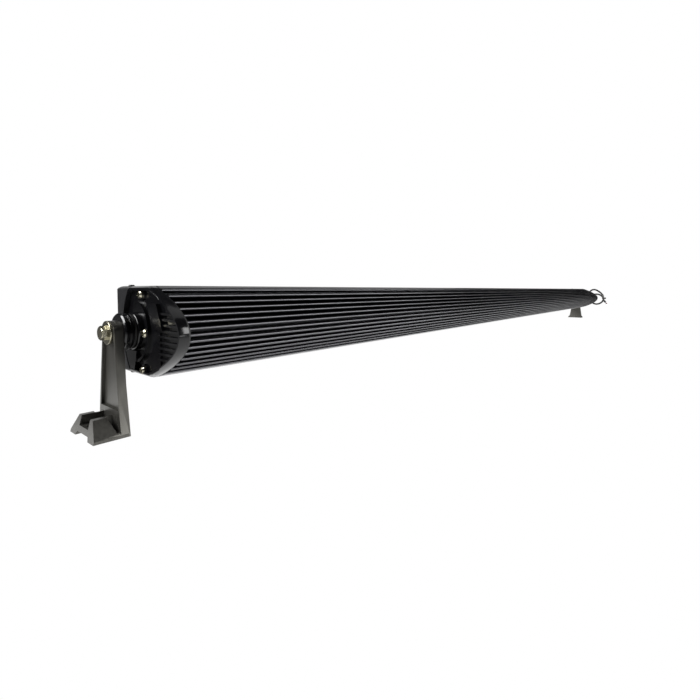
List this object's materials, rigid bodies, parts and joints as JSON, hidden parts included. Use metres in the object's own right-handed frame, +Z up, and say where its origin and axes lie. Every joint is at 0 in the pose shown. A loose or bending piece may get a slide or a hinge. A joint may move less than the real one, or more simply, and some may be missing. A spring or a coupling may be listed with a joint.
{
  "type": "led light bar",
  "caption": "Straight single-row LED light bar with a finned curved back, cast end caps and two tilting channel feet.",
  "frame": {"origin": "on the mounting surface, below the middle of the light without its cord", "axes": "+X along the bar towards the end without the cord, -Y the way the light shines, +Z up"},
  "size_m": [1.4651, 0.1086, 0.095],
  "materials": {
    "housing_black": "black anodised, satin",
    "bezel_black": "satin black powder coat",
    "cap_black": "semi-gloss black paint on die casting",
    "lens_glass": "clear toughened glass",
    "rubber_black": "matt",
    "reflector_silver": "vacuum metallised",
    "board_white": "white solder mask",
    "emitter_yellow": "phosphor under a clear dome",
    "pad_grey": "matt thermal pad",
    "pcb_green": "solder mask",
    "ferrite_grey": "ferrite and potting",
    "capacitor_can": "sleeved can",
    "chip_black": "moulded",
    "terminal_green": "moulded",
    "stainless": "turned stainless steel",
    "screw_black": "black oxide",
    "brass": "machined",
    "bracket_grey": "dark grey satin anodised",
    "nylon_black": "moulded",
    "cord_jacket": "satin jacket",
    "core_red": "insulation",
    "core_black": "insulation",
    "tinned_copper": "tinned"
  },
  "bodies": {
    "light": {"housing": "housing_black", "front_bezel": "bezel_black", "lens": "lens_glass", "lens_gasket": "rubber_black", "reflectors": "reflector_silver", "led_boards": "board_white", "led_emitters": "emitter_yellow", "thermal_pads": "pad_grey", "board_screws": "stainless", "driver_boards": "pcb_green", "driver_inductors": "ferrite_grey", "driver_capacitors": "capacitor_can", "driver_chips": "chip_black", "input_terminal": "terminal_green", "supply_leads": "core_red", "right_end_cap": "cap_black", "left_end_cap": "cap_black", "right_cap_gasket": "rubber_black", "left_cap_gasket": "rubber_black", "right_cap_screws": "stainless", "left_cap_screws": "stainless", "bezel_screws": "screw_black", "bezel_end_screws": "screw_black", "breather_valve": "nylon_black", "right_insert": "brass", "left_insert": "brass", "right_friction_washer": "rubber_black", "left_friction_washer": "rubber_black", "right_pivot_spacer": "cap_black", "left_pivot_spacer": "cap_black", "right_pivot_bolt": "stainless", "left_pivot_bolt": "stainless", "right_flat_washer": "stainless", "left_flat_washer": "stainless", "gland_body": "nylon_black", "gland_seal": "rubber_black", "gland_nut": "nylon_black", "cord": "cord_jacket", "cable_tie": "nylon_black", "heat_shrink": "rubber_black", "core_positive": "core_red", "core_negative": "core_black", "wire_ferrules": "tinned_copper"},
    "right_foot": {"right_bracket": "bracket_grey"},
    "left_foot": {"left_bracket": "bracket_grey"}
  },
  "joints": [
    {"name": "right_tilt", "type": "hinge", "parent": "light", "child": "right_foot", "pos_m": [0.70455, -0.0195, 0.0645], "axis": [1, 0, 0], "range_deg": [-90, 45]},
    {"name": "left_tilt", "type": "hinge", "parent": "light", "child": "left_foot", "pos_m": [-0.70455, -0.0195, 0.0645], "axis": [1, 0, 0], "range_deg": [-90, 45]}
  ]
}
